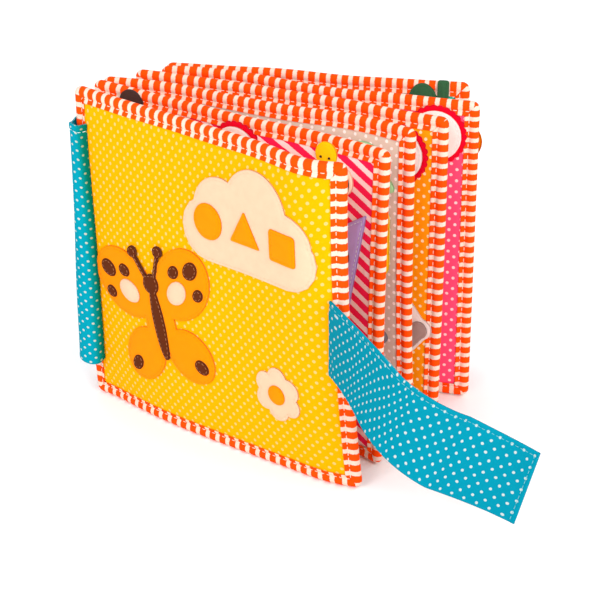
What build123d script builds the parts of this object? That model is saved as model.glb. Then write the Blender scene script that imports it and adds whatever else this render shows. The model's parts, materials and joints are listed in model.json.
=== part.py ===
from build123d import *
import os
from math import cos, radians, sin

# Baby's cloth quiet book, standing open on its bottom edges like a fan.
# Millimetres, +Z up. The front cover faces -Y, the spine is on the -X side.
# The plan is laid out from the front hinge axis, and every leaf follows a chain
# of arcs. A place on a leaf is given by its distance from the leaf's spine end
# and by its height above the table.

# Leaf sizes
cover_height = 200.0
leaf_height = 195.0
back_cover_height = 193.0
panel_thickness = 6.6
panel_edge_round = 2.2
corner_radius = 5.0

# Bias binding sewn round every leaf, a folded strip that grips the panel's rim
binding_width = 8.0
binding_thickness = 5.4
binding_cloth = 1.2
binding_edge_round = 2.1
seam_gap = 0.1

# Spine cloth, with a rolled sleeve over the spine end of each cover
spine_cloth = 1.2
spine_clearance = 17.0
sleeve_foot_radius = 8.5
sleeve_top_radius = 6.0
sleeve_cloth = 1.2
hinge_set_back = 3.0
spine_gap = 0.6
leaf_seat_gap = 0.3
spine_exit_angle = 68.0
spine_heading = 88.0
spine_spans = [16.5, 17.0, 38.0, 6.0]
spine_turns = [0.0, -50.0, 0.0, 22.0]
back_hinge_turn = 14.0

# Each leaf's heading at the spine, then the arcs it follows and their turns in degrees
front_cover_heading = -37.0
front_cover_spans = [170.0, 34.0]
front_cover_turns = [-9.0, 45.0]
back_cover_heading = -10.0
back_cover_spans = [97.0, 97.0]
back_cover_turns = [-5.5, 5.0]

# Inner leaves, front to back: where each sits along the spine cloth, heading, arcs
inner_leaf_seats = [20.0, 31.5, 55.5, 74.0]
inner_leaf_headings = [-26.5, -8.0, -13.0, -4.0]
inner_leaf_1_spans = [70.0, 70.0, 74.0]
inner_leaf_2_spans = [70.0, 70.0, 69.0]
inner_leaf_3_spans = [70.0, 70.0, 68.0]
inner_leaf_4_spans = [70.0, 70.0, 67.0]
inner_leaf_1_turns = [-13.0, 9.0, -17.5]
inner_leaf_2_turns = [-23.5, 7.0, -16.5]
inner_leaf_3_turns = [-13.0, -3.0, -2.0]
inner_leaf_4_turns = [-28.0, 12.5, 5.0]

# Closure strap: a doubled cloth band sewn into the binding seam of the front cover,
# halfway up. It stands out by itself, clear of the table.
strap_width = 46.0
strap_thickness = 2.2
strap_length = 147.0
strap_seat_gap = 0.3
strap_seat_share = 0.49
strap_foot_gap = 0.2
strap_stations = 13
strap_headings = [-68.0, -41.0, 15.5, -29.0]
strap_droops = [0.0, 41.0, 32.0, 14.5]

# Touch fastener: hooks under the strap's tip, loops on the back cover
patch_width = 28.0
patch_thickness = 1.2
patch_gap = 0.25
hook_patch_stations = (9, 12)
loop_patch_size = (62.0, 46.0)
loop_patch_place = (62.0, 95.0)

# Felt appliqués
felt = 1.5
felt_gap = 0.05
badge_radius = 18.5
badge_scallops = 26
badge_scallop_radius = 2.3
badge_disc_radius = 15.3

# Felt picture on the front cover, each place down from the top edge: the cloud's is in
# from the free edge, the others are out from the spine end
cloud_place = (66.0, 48.0)
cloud_size = (100.0, 64.0)
shape_size = 22.0
shape_drop = 7.0
shape_pitch = 29.0
butterfly_place = (67.0, 132.0)
butterfly_tilt = 14.0
flower_place = (156.0, 150.0)
flower_radius = 17.0
flower_petals = 6

# Parts of the butterfly, as (right, up, half width, half height, tilt)
upper_wing = (24.0, 25.0, 26.0, 20.0, 38.0)
lower_wing = (19.0, -20.0, 19.0, 15.5, -42.0)
wing_root = (0.0, 0.0, 12.0, 20.0)
wing_spots = [
    (35.0, 34.0, 6.5, 5.0, 38.0),
    (21.0, 33.0, 4.6, 3.8, 38.0),
    (37.0, 19.0, 4.4, 3.6, 38.0),
    (27.0, -26.0, 5.4, 4.2, -42.0),
]
wing_patch = (20.0, 20.0, 8.5, 6.5, 38.0)
body_oval = (0.0, 0.0, 4.5, 23.0)
head_disc = (0.0, 25.0, 6.2)
feeler_size = (2.4, 19.0)
feeler_place = (6.5, 35.5, 25.0)
feeler_tip = (10.8, 45.0, 3.6)

# Felt on the inner leaves: each place is in from the free edge and down from the top
leaf_1_badge_place = (109.0, 23.0)
leaf_3_badge_place = (29.0, 25.5)
leaf_4_badge_place = (25.0, 21.7)
brown_disc_place, brown_disc_radius = (186.0, 7.5), 9.5
yellow_disc_place, yellow_disc_radius = (42.7, 10.5), 7.5
ball_place, ball_radii = (32.0, 24.0), (9.3, 9.3)
ball_spot_place, ball_spot_radii = (29.3, 25.4), (4.5, 7.5)
bucket_place = (37.0, 75.0)
bucket_corners = [(-26.0, 21.0), (10.0, 26.0), (25.0, 35.0), (12.0, -34.0), (-14.0, -34.0)]
bucket_spot_place, bucket_spot_radii = (28.0, 68.5), (5.0, 7.0)
pineapple_place, pineapple_size, pineapple_round = (31.8, 72.0), (38.0, 46.0), 9.0
crown_leaves = [(0.0, 38.5, 18.0, 20.0), (-6.0, 41.0, 6.0, 17.0, 120.0), (6.0, 41.0, 6.0, 17.0, -120.0)]
stone_place, stone_radii = (22.0, 132.5), (11.3, 7.5)
heart_place, heart_size = (18.0, 140.4), 24.5
heart_ear = [(-4.0, 26.0), (8.5, 10.5), (-6.0, 5.0)]
small_heart_place, small_heart_size = (18.0, 140.0), 20.5
back_disc_place, back_disc_radius = (10.5, 26.5), 12.0
cactus_place = (20.0, 33.0)
cactus_stem = (4.0, 0.0, 7.0, 69.0, 1.5)
cactus_arm = (-8.5, 18.0, 9.5, 14.0)

FRONT = -1
BACK = 1
REACH = 40.0


def station(path, s):
    """Plan point and heading at distance s along a chain of arcs."""
    (x, y), heading, bends = path
    h = radians(heading)
    left = s
    last = len(bends) - 1
    for i, (length, turn) in enumerate(bends):
        step = left if i == last or left < 0 else min(left, length)
        angle = radians(turn) * step / length
        if turn:
            r = length / radians(turn)
            x += r * (sin(h + angle) - sin(h))
            y -= r * (cos(h + angle) - cos(h))
        else:
            x += step * cos(h)
            y += step * sin(h)
        h += angle
        left -= step
        if left <= 0:
            break
    return x, y, h


def beside(path, s, offset):
    """Plan point at distance s, moved to the left of the heading."""
    x, y, h = station(path, s)
    return Vector(x - offset * sin(h), y + offset * cos(h), 0)


def path_length(path):
    return sum(length for length, turn in path[2])


def breaks(path, start, end):
    """Distances where the chain of arcs changes, within a stretch."""
    marks = [start]
    s = 0.0
    for length, turn in path[2][:-1]:
        s += length
        if start < s < end:
            marks.append(s)
    marks.append(end)
    return marks


def plate(path, start, end, low, high, bottom, top):
    """A standing sheet that follows the path, between two sideways offsets."""
    marks = breaks(path, start, end)
    spans = list(zip(marks[:-1], marks[1:]))

    def side(offset, pairs):
        edges = []
        for a, b in pairs:
            middle = beside(path, (a + b) / 2, offset)
            p, q = beside(path, a, offset), beside(path, b, offset)
            bow = (middle - (p + q) / 2).length
            edges.append(Line(p, q) if bow < 1e-4 else ThreePointArc(p, middle, q))
        return edges

    outline = side(high, spans)
    outline.append(Line(beside(path, end, high), beside(path, end, low)))
    outline += side(low, [(b, a) for a, b in reversed(spans)])
    outline.append(Line(beside(path, start, low), beside(path, start, high)))
    sheet = extrude(make_face(outline), amount=top - bottom)
    return Pos(0, 0, bottom) * sheet


def round_corners(sheet, thickness, radius):
    """Round the four outer corners of a standing sheet."""
    rims = [e for e in sheet.edges() if e.length < thickness * 1.01]
    return fillet(rims, radius)


def round_outline(sheet, thickness, radius):
    """Round the two outlines of a standing sheet whose corners are done."""
    height = sheet.bounding_box().size.Z
    outline = []
    for edge in sheet.edges():
        upright = edge.bounding_box().size.Z > height - 1e-3
        if edge.length > thickness * 1.01 and not upright:
            outline.append(edge)
    return fillet(outline, radius)


def chamfer_outline(sheet, path, inset, thickness, amount):
    """Take the edge off both outlines of a standing sheet with square corners."""
    height = sheet.bounding_box().size.Z
    ends = (beside(path, inset, 0), beside(path, path_length(path) - inset, 0))
    outline = []
    for edge in sheet.edges():
        if edge.length < thickness * 1.01:
            continue
        upright = edge.bounding_box().size.Z > height - 1e-3
        from_end = min((flat(edge.center()) - end).length for end in ends)
        if not upright or from_end < thickness:
            outline.append(edge)
    return chamfer(outline, amount)


def framed_leaf(path, height, thickness=panel_thickness):
    """One leaf: the padded panel, and the binding that grips its rim."""
    width = path_length(path)
    half_band = binding_thickness / 2
    band = plate(path, 0, width, -half_band, half_band, 0, height)
    band = round_corners(band, binding_thickness, corner_radius)
    band = round_outline(band, binding_thickness, binding_edge_round)

    half_rim = half_band - binding_cloth - seam_gap
    rim_inset = binding_cloth + seam_gap
    rim = plate(path, rim_inset, width - rim_inset, -half_rim, half_rim,
                rim_inset, height - rim_inset)
    rim = round_corners(rim, 2 * half_rim, corner_radius - rim_inset)

    groove = half_band - binding_cloth
    slot = plate(path, binding_cloth, width - binding_cloth, -groove, groove,
                 binding_cloth, height - binding_cloth)
    slot = round_corners(slot, 2 * groove, corner_radius - binding_cloth)
    window = plate(path, binding_width, width - binding_width, -thickness, thickness,
                   binding_width, height - binding_width)
    band = band - slot - window

    pad_inset = binding_width + seam_gap
    pad = plate(path, pad_inset, width - pad_inset, -thickness / 2, thickness / 2,
                pad_inset, height - pad_inset)
    return rim + chamfer_outline(pad, path, pad_inset, thickness, panel_edge_round), band


def flat(point):
    return Vector(point.X, point.Y, 0)


def leaf_plane(path, s, face):
    """Upright plane on a leaf at distance s: x along the leaf, y up, z outwards."""
    x, y, h = station(path, s)
    along = Vector(cos(h), sin(h), 0) * (1 if face == FRONT else -1)
    out = Vector(sin(h), -cos(h), 0) * (1 if face == FRONT else -1)
    return Plane(origin=(x, y, 0), x_dir=along, z_dir=out)


def felt_piece(path, outline, s, layer=0, thickness=felt, face=FRONT):
    """A felt shape laid on a leaf, drawn with x from distance s and y from the table."""
    base = panel_thickness / 2 + felt_gap + layer * (felt + felt_gap)
    reach = outline.bounding_box().size.X / 2 + abs(outline.bounding_box().center().X) + 2
    top = outline.bounding_box().max.Y + 2
    low, high = sorted((face * base, face * (base + thickness)))
    skin = plate(path, s - reach, s + reach, low, high, 0, top)
    prism = extrude(leaf_plane(path, s, face) * outline, amount=REACH)
    return skin & prism


def disc(x, y, radius):
    return Pos(x, y) * Circle(radius)


def oval(x, y, rx, ry, tilt=0.0):
    return Pos(x, y) * Rot(0, 0, tilt) * Ellipse(rx, ry)


def scalloped_disc(x, y, radius, count, bump):
    shape = Circle(radius - bump / 2)
    for place in PolarLocations(radius - bump, count):
        shape += place * Circle(bump)
    return Pos(x, y) * shape


def heart(size):
    lobe = size * 0.28
    shape = Pos(-lobe * 0.92, lobe * 0.7) * Circle(lobe)
    shape += Pos(lobe * 0.92, lobe * 0.7) * Circle(lobe)
    side = lobe * 1.72
    shape += make_face(Polyline((-side, 0.25 * lobe), (0, -size * 0.52), (side, 0.25 * lobe),
                                (0, lobe * 0.9), close=True))
    return shape


def cloud(x, y, width, height):
    """A rounded cloud with a flat foot."""
    foot = height * 0.30
    shape = Pos(0, -height / 2 + foot) * RectangleRounded(width, 2 * foot, foot * 0.98)
    shape += disc(-width * 0.20, 0, height * 0.33)
    shape += disc(width * 0.08, height * 0.12, height * 0.38)
    shape += disc(width * 0.30, -height * 0.06, height * 0.27)
    return Pos(x, y) * shape


def flower(x, y, radius, petals):
    petal = radius * 0.42
    shape = Circle(radius * 0.5)
    for place in PolarLocations(radius - petal, petals, 90):
        shape += place * Circle(petal)
    return Pos(x, y) * shape


# Plan of the spine and the leaves
def polar(origin, distance, angle):
    return origin[0] + distance * cos(angle), origin[1] + distance * sin(angle)


front_hinge = (0.0, 0.0)
hinge_reach = sleeve_foot_radius + spine_gap
spine_path = (polar(front_hinge, hinge_reach, radians(spine_exit_angle)), spine_heading,
              list(zip(spine_spans, spine_turns)))
spine_length = path_length(spine_path)
end_x, end_y, end_heading = station(spine_path, spine_length)
back_hinge = polar((end_x, end_y), hinge_reach, end_heading + radians(back_hinge_turn))


def hinged_path(hinge, heading, spans, turns):
    """A cover's path, with its spine end set back inside the hinge sleeve."""
    start = polar(hinge, -hinge_set_back, radians(heading))
    return start, heading, list(zip(spans, turns))


def seated_path(place, heading, spans, turns):
    """An inner leaf's path, with its rounded end against the spine cloth."""
    seat = spine_cloth / 2 + leaf_seat_gap + binding_thickness / 2
    centre = beside(spine_path, place, -seat)
    start = polar((centre.X, centre.Y), -binding_thickness / 2, radians(heading))
    return start, heading, list(zip(spans, turns))


front_path = hinged_path(front_hinge, front_cover_heading, front_cover_spans, front_cover_turns)
back_path = hinged_path(back_hinge, back_cover_heading, back_cover_spans, back_cover_turns)
inner_leaf_spans = [inner_leaf_1_spans, inner_leaf_2_spans, inner_leaf_3_spans, inner_leaf_4_spans]
inner_leaf_turns = [inner_leaf_1_turns, inner_leaf_2_turns, inner_leaf_3_turns, inner_leaf_4_turns]
inner_plans = zip(inner_leaf_seats, inner_leaf_headings, inner_leaf_spans, inner_leaf_turns)
inner_paths = [seated_path(*plan) for plan in inner_plans]

parts = {}


# Spine cloth and sleeves
def sleeve(hinge, path, height):
    """A cloth roll over the spine end of a cover, wider at its foot, slit for the cover."""
    rise = height - 2 * spine_clearance
    roll = Cone(sleeve_foot_radius, sleeve_top_radius, rise)
    roll -= Cone(sleeve_foot_radius - sleeve_cloth, sleeve_top_radius - sleeve_cloth, rise)
    roll = Pos(hinge[0], hinge[1], spine_clearance + rise / 2) * roll
    half_slit = panel_thickness / 2 + seam_gap
    slit = plate(path, hinge_set_back, hinge_set_back + 2 * sleeve_foot_radius,
                 -half_slit, half_slit, 0, height)
    return roll - slit


parts["spine_cloth"] = plate(spine_path, 0, spine_length, -spine_cloth / 2, spine_cloth / 2,
                             spine_clearance, leaf_height - spine_clearance)
parts["front_hinge_sleeve"] = sleeve(front_hinge, front_path, cover_height)
parts["back_hinge_sleeve"] = sleeve(back_hinge, back_path, back_cover_height)

# Leaves
parts["front_cover_panel"], parts["front_cover_binding"] = framed_leaf(front_path, cover_height)
parts["back_cover_panel"], parts["back_cover_binding"] = framed_leaf(back_path, back_cover_height)
for number, path in enumerate(inner_paths, 1):
    panel, binding = framed_leaf(path, leaf_height)
    parts[f"inner_leaf_{number}_panel"] = panel
    parts[f"inner_leaf_{number}_binding"] = binding


def on_leaf(path, place, height=leaf_height):
    """Distance from the spine end and height of a place given from the far top corner."""
    inward, drop = place
    return path_length(path) - inward, height - drop


# Felt picture on the front cover: a cloud with three shapes, a butterfly and a flower
cloud_s, cloud_z = on_leaf(front_path, cloud_place, cover_height)
shape_z = cloud_z - shape_drop
shape_side = shape_size * 0.86
parts["cover_cloud"] = felt_piece(front_path, cloud(0, cloud_z, *cloud_size), cloud_s)
parts["cloud_circle"] = felt_piece(front_path, disc(0, shape_z, shape_size / 2),
                                   cloud_s - shape_pitch, 1)
parts["cloud_triangle"] = felt_piece(
    front_path, Pos(0, shape_z) * RegularPolygon(shape_size * 0.62, 3, rotation=90), cloud_s, 1)
parts["cloud_square"] = felt_piece(
    front_path, Pos(0, shape_z) * RectangleRounded(shape_side, shape_side, 2),
    cloud_s + shape_pitch, 1)

butterfly_s, butterfly_drop = butterfly_place
butterfly_z = cover_height - butterfly_drop


def butterfly_frame():
    return Pos(0, butterfly_z) * Rot(0, 0, butterfly_tilt)


def one_side(side, dx, dy, rx, ry, tilt):
    return oval(side * dx, dy, rx, ry, side * tilt)


def butterfly_wings():
    shape = oval(*wing_root)
    for side in (-1, 1):
        shape += one_side(side, *upper_wing)
        shape += one_side(side, *lower_wing)
    return butterfly_frame() * shape


def butterfly_body():
    """Head, body and two feelers with round tips, cut from one piece."""
    shape = oval(*body_oval) + disc(*head_disc)
    feeler_x, feeler_y, feeler_lean = feeler_place
    tip_x, tip_y, tip_radius = feeler_tip
    for side in (-1, 1):
        feeler = Pos(side * feeler_x, feeler_y) * Rot(0, 0, -side * feeler_lean)
        shape += feeler * Rectangle(*feeler_size)
        shape += disc(side * tip_x, tip_y, tip_radius)
    return butterfly_frame() * shape


parts["butterfly_wings"] = felt_piece(front_path, butterfly_wings(), butterfly_s)
parts["butterfly_body"] = felt_piece(front_path, butterfly_body(), butterfly_s, 1)
for side, name in ((-1, "left"), (1, "right")):
    for number, spot in enumerate(wing_spots, 1):
        outline = butterfly_frame() * one_side(side, *spot)
        parts[f"wing_spot_{name}_{number}"] = felt_piece(front_path, outline, butterfly_s, 1)
    outline = butterfly_frame() * one_side(side, *wing_patch)
    parts[f"wing_patch_{name}"] = felt_piece(front_path, outline, butterfly_s, 1)

flower_s, flower_drop = flower_place
flower_z = cover_height - flower_drop
parts["cover_flower"] = felt_piece(front_path, flower(0, flower_z, flower_radius, flower_petals),
                                   flower_s)
parts["flower_centre"] = felt_piece(front_path, disc(0, flower_z, flower_radius * 0.36),
                                    flower_s, 1)

# Felt pieces on the inner leaves
badge_places = ((1, leaf_1_badge_place), (3, leaf_3_badge_place), (4, leaf_4_badge_place))
for number, place in badge_places:
    path = inner_paths[number - 1]
    s, z = on_leaf(path, place)
    backing = scalloped_disc(0, z, badge_radius, badge_scallops, badge_scallop_radius)
    parts[f"inner_leaf_{number}_badge"] = felt_piece(path, backing, s)
    parts[f"inner_leaf_{number}_badge_disc"] = felt_piece(path, disc(0, z, badge_disc_radius), s, 1)


def felt_shape(path, place, shape, layer=0, thickness=felt, face=FRONT, height=leaf_height):
    """A felt piece whose shape is drawn about its own place on the leaf."""
    s, z = on_leaf(path, place, height)
    return felt_piece(path, Pos(0, z) * shape, s, layer, thickness, face)


leaf_1, leaf_2, leaf_3, leaf_4 = inner_paths
brown_disc, yellow_disc = Circle(brown_disc_radius), Circle(yellow_disc_radius)
parts["inner_leaf_1_brown_disc"] = felt_shape(leaf_1, brown_disc_place, brown_disc)
parts["inner_leaf_1_yellow_disc"] = felt_shape(leaf_1, yellow_disc_place, yellow_disc)
parts["inner_leaf_1_peach_ball"] = felt_shape(leaf_1, ball_place, Ellipse(*ball_radii))
parts["inner_leaf_1_ball_spot"] = felt_shape(leaf_1, ball_spot_place, Ellipse(*ball_spot_radii), 1)
bucket = make_face(Polyline(*bucket_corners, close=True))
parts["inner_leaf_1_bucket"] = felt_shape(leaf_1, bucket_place, bucket)
bucket_spot = Ellipse(*bucket_spot_radii)
parts["inner_leaf_1_bucket_spot"] = felt_shape(leaf_1, bucket_spot_place, bucket_spot, 1)

crown = Sketch() + [oval(*leaf) for leaf in crown_leaves]
parts["inner_leaf_2_pineapple_crown"] = felt_shape(leaf_2, pineapple_place, crown)
pineapple = RectangleRounded(*pineapple_size, pineapple_round)
parts["inner_leaf_2_pineapple"] = felt_shape(leaf_2, pineapple_place, pineapple, 1)
parts["inner_leaf_2_grey_stone"] = felt_shape(leaf_2, stone_place, Ellipse(*stone_radii))

eared_heart = heart(heart_size) + make_face(Polyline(*heart_ear, close=True))
parts["inner_leaf_3_heart"] = felt_shape(leaf_3, heart_place, eared_heart)
parts["inner_leaf_3_small_heart"] = felt_shape(leaf_3, small_heart_place, heart(small_heart_size), 1)
parts["inner_leaf_4_back_disc"] = felt_shape(leaf_4, back_disc_place, Circle(back_disc_radius),
                                             face=BACK)

stem_x, stem_y, stem_width, stem_height, stem_round = cactus_stem
cactus = Pos(stem_x, stem_y) * RectangleRounded(stem_width, stem_height, stem_round)
cactus += oval(*cactus_arm)
parts["back_cover_cactus"] = felt_shape(back_path, cactus_place, cactus, height=back_cover_height)


# Closure strap
def between(values, share):
    """Value at a share of the strap's length, from evenly spaced values."""
    place = share * (len(values) - 1)
    i = min(int(place), len(values) - 2)
    return values[i] + (values[i + 1] - values[i]) * (place - i)


def strap_frames(seat, count):
    """Points along the middle of the strap, with its direction and upward edge."""
    x, y, h = station(front_path, seat)
    outward = binding_thickness / 2 + strap_seat_gap + strap_thickness / 2
    point = Vector(x + outward * sin(h), y - outward * cos(h), 0)
    step = strap_length / count
    frames = []
    for i in range(count + 1):
        turn = radians(between(strap_headings, i / count))
        droop = radians(between(strap_droops, i / count))
        ahead = Vector(cos(droop) * cos(turn), cos(droop) * sin(turn), -sin(droop))
        up = Vector(sin(droop) * cos(turn), sin(droop) * sin(turn), cos(droop))
        if i:
            point = point + (ahead + last) * (step / 2)
        frames.append((point, ahead, up))
        last = ahead
    return frames


def strap_band(frames, start, end, width, low, high, lift):
    """A band that follows some of the strap's frames, between two sideways offsets."""
    sections = []
    for point, ahead, up in frames[start:end + 1]:
        side = up.cross(ahead)
        centre = point + side * ((low + high) / 2) + Vector(0, 0, lift)
        plane = Plane(origin=centre, x_dir=up, z_dir=ahead)
        sections.append(plane * Rectangle(width, abs(high - low)))
    return loft(sections)


strap_seat = path_length(front_path) - binding_width + seam_gap
frames = strap_frames(strap_seat, strap_stations)
lowest_edge = min((point - up * (strap_width / 2)).Z for point, ahead, up in frames)
strap_lift = max(cover_height * strap_seat_share, strap_foot_gap - lowest_edge)
parts["closure_strap"] = strap_band(frames, 0, strap_stations, strap_width,
                                    -strap_thickness / 2, strap_thickness / 2, strap_lift)
patch_seat = strap_thickness / 2 + patch_gap
hook_start, hook_end = hook_patch_stations
parts["strap_hook_patch"] = strap_band(frames, hook_start, hook_end, patch_width, patch_seat,
                                       patch_seat + patch_thickness, strap_lift)
loop_patch = RectangleRounded(*loop_patch_size, 2)
parts["back_cover_loop_patch"] = felt_shape(back_path, loop_patch_place, loop_patch,
                                            thickness=patch_thickness, face=BACK,
                                            height=back_cover_height)

# Origin at the middle of the footprint, on the table
boxes = [shape.bounding_box() for shape in parts.values()]
middle_x = (min(b.min.X for b in boxes) + max(b.max.X for b in boxes)) / 2
middle_y = (min(b.min.Y for b in boxes) + max(b.max.Y for b in boxes)) / 2
to_origin = Pos(-middle_x, -middle_y, 0)

os.makedirs("parts", exist_ok=True)
for name, shape in parts.items():
    export_step(to_origin * shape, f"parts/{name}.step")
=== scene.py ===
import json
import math

import bpy
import numpy as np
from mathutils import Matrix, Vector
from mathutils.geometry import delaunay_2d_cdt


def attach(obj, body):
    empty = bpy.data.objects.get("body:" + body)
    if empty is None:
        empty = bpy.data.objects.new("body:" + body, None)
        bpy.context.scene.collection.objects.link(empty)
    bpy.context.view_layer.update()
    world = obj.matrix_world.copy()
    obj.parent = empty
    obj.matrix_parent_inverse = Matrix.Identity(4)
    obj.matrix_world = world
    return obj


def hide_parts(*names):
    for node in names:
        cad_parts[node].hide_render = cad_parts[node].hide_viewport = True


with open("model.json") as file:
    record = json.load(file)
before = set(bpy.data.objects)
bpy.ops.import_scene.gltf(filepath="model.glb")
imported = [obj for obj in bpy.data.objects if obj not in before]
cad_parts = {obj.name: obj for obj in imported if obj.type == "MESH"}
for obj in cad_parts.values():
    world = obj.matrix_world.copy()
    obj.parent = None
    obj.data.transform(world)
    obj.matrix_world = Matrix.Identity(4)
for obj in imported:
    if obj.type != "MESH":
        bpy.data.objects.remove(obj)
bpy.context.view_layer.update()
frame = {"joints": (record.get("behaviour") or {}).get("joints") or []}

# Plan values in millimetres, measured from the front hinge
MM = 0.001
hinge_m = next(j for j in frame["joints"] if j["name"] == "front_cover_hinge")["pos_m"]
ORIGIN = np.array([hinge_m[0], hinge_m[1], 0.0])
cover_height = 200.0
leaf_height = 195.0
back_cover_height = 193.0
corner_radius = 5.0
cad_binding = 5.4
spine_cloth = 1.2
spine_clearance = 17.0
sleeve_foot_radius = 8.5
hinge_set_back = 3.0
spine_gap = 0.6
leaf_seat_gap = 0.3
spine_exit_angle = 68.0
spine_heading = 88.0
spine_bends = [(16.5, 0.0), (17.0, -50.0), (38.0, 0.0), (6.0, 22.0)]
back_hinge_turn = 14.0
front_heading = -37.0
front_bends = [(170.0, -9.0), (34.0, 45.0)]
foot_start = (-1.95, 2.09)
foot_heading = -33.0
foot_bends = [(30.9, -13.2), (61.8, 9.7), (86.5, 0.75), (30.9, 25.9)]
back_heading = -10.0
back_bends = [(97.0, -5.5), (97.0, 5.0)]
inner_plans = [
    (20.0, -26.5, [(70.0, -13.0), (70.0, 9.0), (74.0, -17.5)]),
    (31.5, -8.0, [(70.0, -23.5), (70.0, 7.0), (69.0, -16.5)]),
    (55.5, -13.0, [(70.0, -13.0), (70.0, -3.0), (68.0, -2.0)]),
    (74.0, -4.0, [(70.0, -28.0), (70.0, 12.5), (67.0, 5.0)]),
]
strap_width = 46.0
strap_length = 147.0
strap_seat_share = 0.49
strap_headings = [-68.0, -41.0, 15.5, -29.0]
strap_droops = [0.0, 41.0, 32.0, 14.5]

# Binding section: distance in from the leaf's edge, and half thickness
ROLL = [(0.0, 0.0), (0.12, 0.85), (0.45, 1.6), (1.0, 2.25), (1.8, 2.75), (2.8, 3.0), (3.8, 2.95),
        (4.7, 2.65), (5.4, 2.3), (5.9, 2.15), (6.35, 2.4), (6.9, 2.8), (7.6, 3.2), (8.1, 3.4),
        (8.4, 3.35), (8.45, 3.05)]
TAPE_INSIDE = [(6.5, 1.5), (6.5, -1.5)]
# Only the parts of the section further out than this pucker
FOLD_HALF = 1.55
# Stripes of the bindings: pitch at the start and the end of each side, and the place of
# the first cream stripe as a share of a pitch. Sides: 0 foot, 1 free edge, 2 top, 3 spine
TAPE = {
    "front_cover": {0: (7.65, 7.2, 0.82), 1: (7.35, 7.2, 0.0), 2: (6.85, 7.95, 0.14)},
    "inner_leaf_1": {1: (6.9, 7.4, 0.25), 2: (8.1, 7.3, 0.91)},
    "inner_leaf_2": {1: (7.05, 6.85, 0.82), 2: (7.5, 7.2, 0.85)},
    "inner_leaf_3": {1: (7.25, 7.3, 0.45), 2: (7.6, 8.2, 0.94)},
    "inner_leaf_4": {1: (6.95, 6.6, 0.88), 2: (8.15, 6.8, 0.74)},
    "back_cover": {2: (7.95, 6.4, 0.74)},
}
PLAIN_TAPE = (7.4, 7.3, 0.4)
TAPE_PITCH = 7.6
TAPE_SHARE = 0.61
DOT_PITCH = 7.1
# Rows of dots on the cover, in pitches: at the spine end of the foot, then per 100 mm out
# from the spine and its square, and per 100 mm up and its square
COVER_ACROSS = (-0.14, 18.43, -1.17, 2.57, -1.22)
COVER_UP = (-0.09, 1.995, -0.86, 15.87, -0.68)
# Every fifth column of dots on the strap: its number from the tip, its place along the
# strap halfway across, and how far it leans per millimetre across
STRAP_COLUMNS = [23.0, 20.0, 15.0, 10.0, 5.0, 0.0]
STRAP_PLACES = [6.5, 24.5, 45.7, 68.0, 102.8, 140.4]
STRAP_LEANS = [0.14, -0.136, -0.35, -0.31, -0.155, 0.017]
# Pitch of the weave, and radii of the sewing threads
WEAVE_PITCH = 0.42
COARSE_THREAD, SPINE_THREAD, FINE_THREAD = 0.24, 0.22, 0.17
# How far the print of a back face is from that of its front
BACK_FACE_SHIFT = 700.3
# Round the spine end of a cover inside its roll, as (along the cover, outwards, radius)
ROLL_CORE = [(-2.0, 0.0, 2.9), (1.0, -1.6, 3.4), (5.0, -1.6, 2.3), (6.0, 1.6, 2.0)]
# Row of stitches in a binding: distance in from the leaf's edge, and half thickness there
STITCH_AT = 5.9
STITCH_HALF = 2.32
# Half thickness of the padding against the distance from the leaf's edge
PAD = [(3.0, 1.3), (5.9, 1.55), (7.2, 2.2), (8.4, 2.9), (9.6, 3.2), (12.0, 3.42), (18.0, 3.55),
       (30.0, 3.65), (60.0, 3.7)]
TAPE_WIDTH = 8.4
PUCKER_REACH = 5.0


def linear(r, g, b):
    """Colour for a shader from a screen colour of 0 to 255."""
    out = []
    for v in (r, g, b):
        v /= 255
        out.append(v / 12.92 if v <= 0.04045 else ((v + 0.055) / 1.055) ** 2.4)
    return (*out, 1.0)


# Leaves
class Path:
    """A chain of arcs in plan."""

    def __init__(self, start, heading, bends):
        self.length = sum(length for length, turn in bends)
        step = 0.25
        self.s = np.arange(-40.0, self.length + 40.0, step)
        ends = np.cumsum([length for length, turn in bends])
        which = np.clip(np.searchsorted(ends, self.s), 0, len(bends) - 1)
        rate = np.array([math.radians(turn) / length for length, turn in bends])[which]
        h = np.concatenate([[0], np.cumsum((rate[1:] + rate[:-1]) / 2 * step)])
        h += math.radians(heading) - np.interp(0, self.s, h)
        cx, cy = np.cos(h), np.sin(h)
        x = np.concatenate([[0], np.cumsum((cx[1:] + cx[:-1]) / 2 * step)])
        y = np.concatenate([[0], np.cumsum((cy[1:] + cy[:-1]) / 2 * step)])
        self.x = x - np.interp(0, self.s, x) + start[0]
        self.y = y - np.interp(0, self.s, y) + start[1]
        self.h = h

    def at(self, s):
        """Plan place and heading at a distance from the start."""
        return tuple(np.interp(s, self.s, line) for line in (self.x, self.y, self.h))

    def beside(self, s, offset):
        x, y, h = self.at(s)
        return x - offset * np.sin(h), y + offset * np.cos(h)


def to_world(x, y, z):
    return np.stack([x, y, z], -1) * MM + ORIGIN


def polar(origin, distance, angle):
    return origin[0] + distance * math.cos(angle), origin[1] + distance * math.sin(angle)


hinge_reach = sleeve_foot_radius + spine_gap
spine = Path(polar((0, 0), hinge_reach, math.radians(spine_exit_angle)), spine_heading, spine_bends)
end_x, end_y, end_h = (float(v) for v in spine.at(spine.length))
back_hinge = polar((end_x, end_y), hinge_reach, end_h + math.radians(back_hinge_turn))


def hinged(hinge, heading, bends):
    return Path(polar(hinge, -hinge_set_back, math.radians(heading)), heading, bends)


def seated(place, heading, bends):
    seat = spine_cloth / 2 + leaf_seat_gap + cad_binding / 2
    centre = spine.beside(place, -seat)
    return Path(polar(centre, -cad_binding / 2, math.radians(heading)), heading, bends)


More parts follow.
